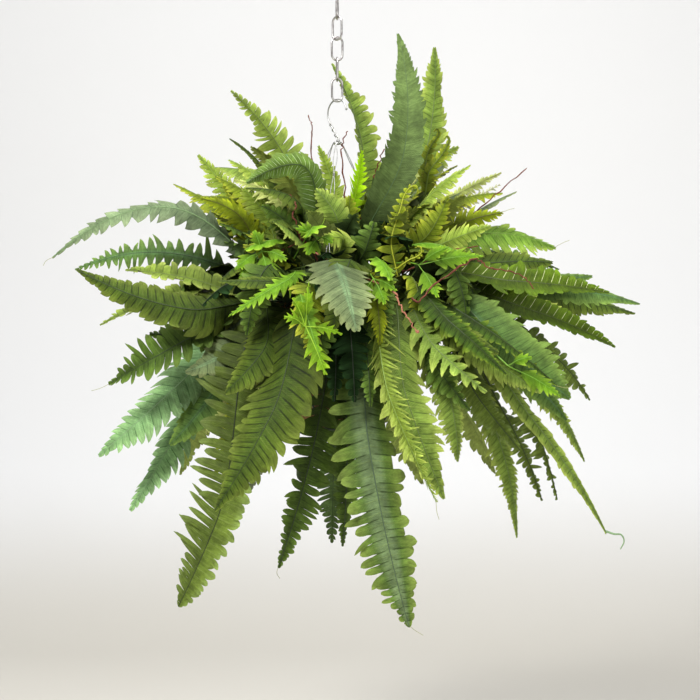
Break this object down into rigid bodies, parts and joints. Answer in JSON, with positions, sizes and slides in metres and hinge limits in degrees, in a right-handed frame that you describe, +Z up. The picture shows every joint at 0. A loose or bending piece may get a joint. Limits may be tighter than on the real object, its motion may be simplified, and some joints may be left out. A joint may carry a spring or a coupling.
{
  "type": "artificial hanging fern",
  "caption": "Artificial fern of mixed fabric fronds, sprigs and twigs in a coir-lined wire basket, hung by wire strands, an open hook and a short chain.",
  "frame": {"origin": "the point that the top chain link hangs from, inside the top of its bend", "axes": "+Z up, -Y towards the front as pictured, +X to the right"},
  "size_m": [0.8222, 0.6705, 0.8571],
  "materials": {
    "nickel_plate": "nickel-plated, satin",
    "bright_wire": "bright zinc-plated wire",
    "green_painted_wire": "dark green paint, satin",
    "coir": "pressed coconut fibre, matt",
    "floral_foam": "dry foam, matt",
    "twig": "dry bark, matt",
    "leaf_olive": "printed fabric, matt",
    "leaf_dark": "printed fabric, matt",
    "leaf_sage": "printed fabric, matt",
    "leaf_pale": "printed fabric, matt",
    "leaf_moss": "printed fabric, matt",
    "leaf_lime": "printed fabric, matt"
  },
  "bodies": {
    "root": {"basket_strand_1": "bright_wire", "basket_strand_2": "bright_wire", "basket_strand_3": "bright_wire", "basket_wire": "green_painted_wire", "chain_link_1": "nickel_plate", "chain_link_2": "nickel_plate", "chain_link_3": "nickel_plate", "chain_link_4": "nickel_plate", "chain_link_5": "nickel_plate", "coir_liner": "coir", "foam": "floral_foam", "frond_back_left": "leaf_sage", "frond_back_low_left": "leaf_olive", "frond_back_low_middle": "leaf_dark", "frond_back_low_right": "leaf_sage", "frond_back_middle": "leaf_sage", "frond_back_right": "leaf_olive", "frond_back_top_left": "leaf_olive", "frond_back_top_right": "leaf_sage", "frond_front_sage": "leaf_sage", "frond_left_arch": "leaf_sage", "frond_left_dark": "leaf_dark", "frond_left_level": "leaf_sage", "frond_left_low": "leaf_sage", "frond_left_olive": "leaf_olive", "frond_low_front_left": "leaf_olive", "frond_low_front_right": "leaf_sage", "frond_low_left": "leaf_olive", "frond_low_middle": "leaf_dark", "frond_low_right_front": "leaf_sage", "frond_low_side_on": "leaf_moss", "frond_right_broad": "leaf_sage", "frond_right_drop": "leaf_olive", "frond_right_fall": "leaf_moss", "frond_right_front": "leaf_moss", "frond_right_light": "leaf_pale", "frond_right_long": "leaf_sage", "frond_right_low": "leaf_olive", "frond_right_low_back": "leaf_dark", "frond_right_mid_back": "leaf_olive", "frond_right_ribbed": "leaf_olive", "frond_right_tips": "leaf_sage", "frond_right_upper": "leaf_dark", "frond_top_arch": "leaf_dark", "frond_top_back": "leaf_olive", "frond_top_left": "leaf_moss", "frond_top_olive": "leaf_olive", "frond_top_sage": "leaf_sage", "frond_upper_left": "leaf_moss", "hook": "bright_wire", "spray_upper_left": "leaf_moss", "spray_upper_right": "leaf_moss", "sprig_front_left": "leaf_lime", "sprig_right": "leaf_lime", "sprig_top": "leaf_lime", "sprig_upper_left": "leaf_lime", "twig_front": "twig", "twig_left": "twig", "twig_right": "twig", "twig_top": "twig"}
  },
  "joints": []
}
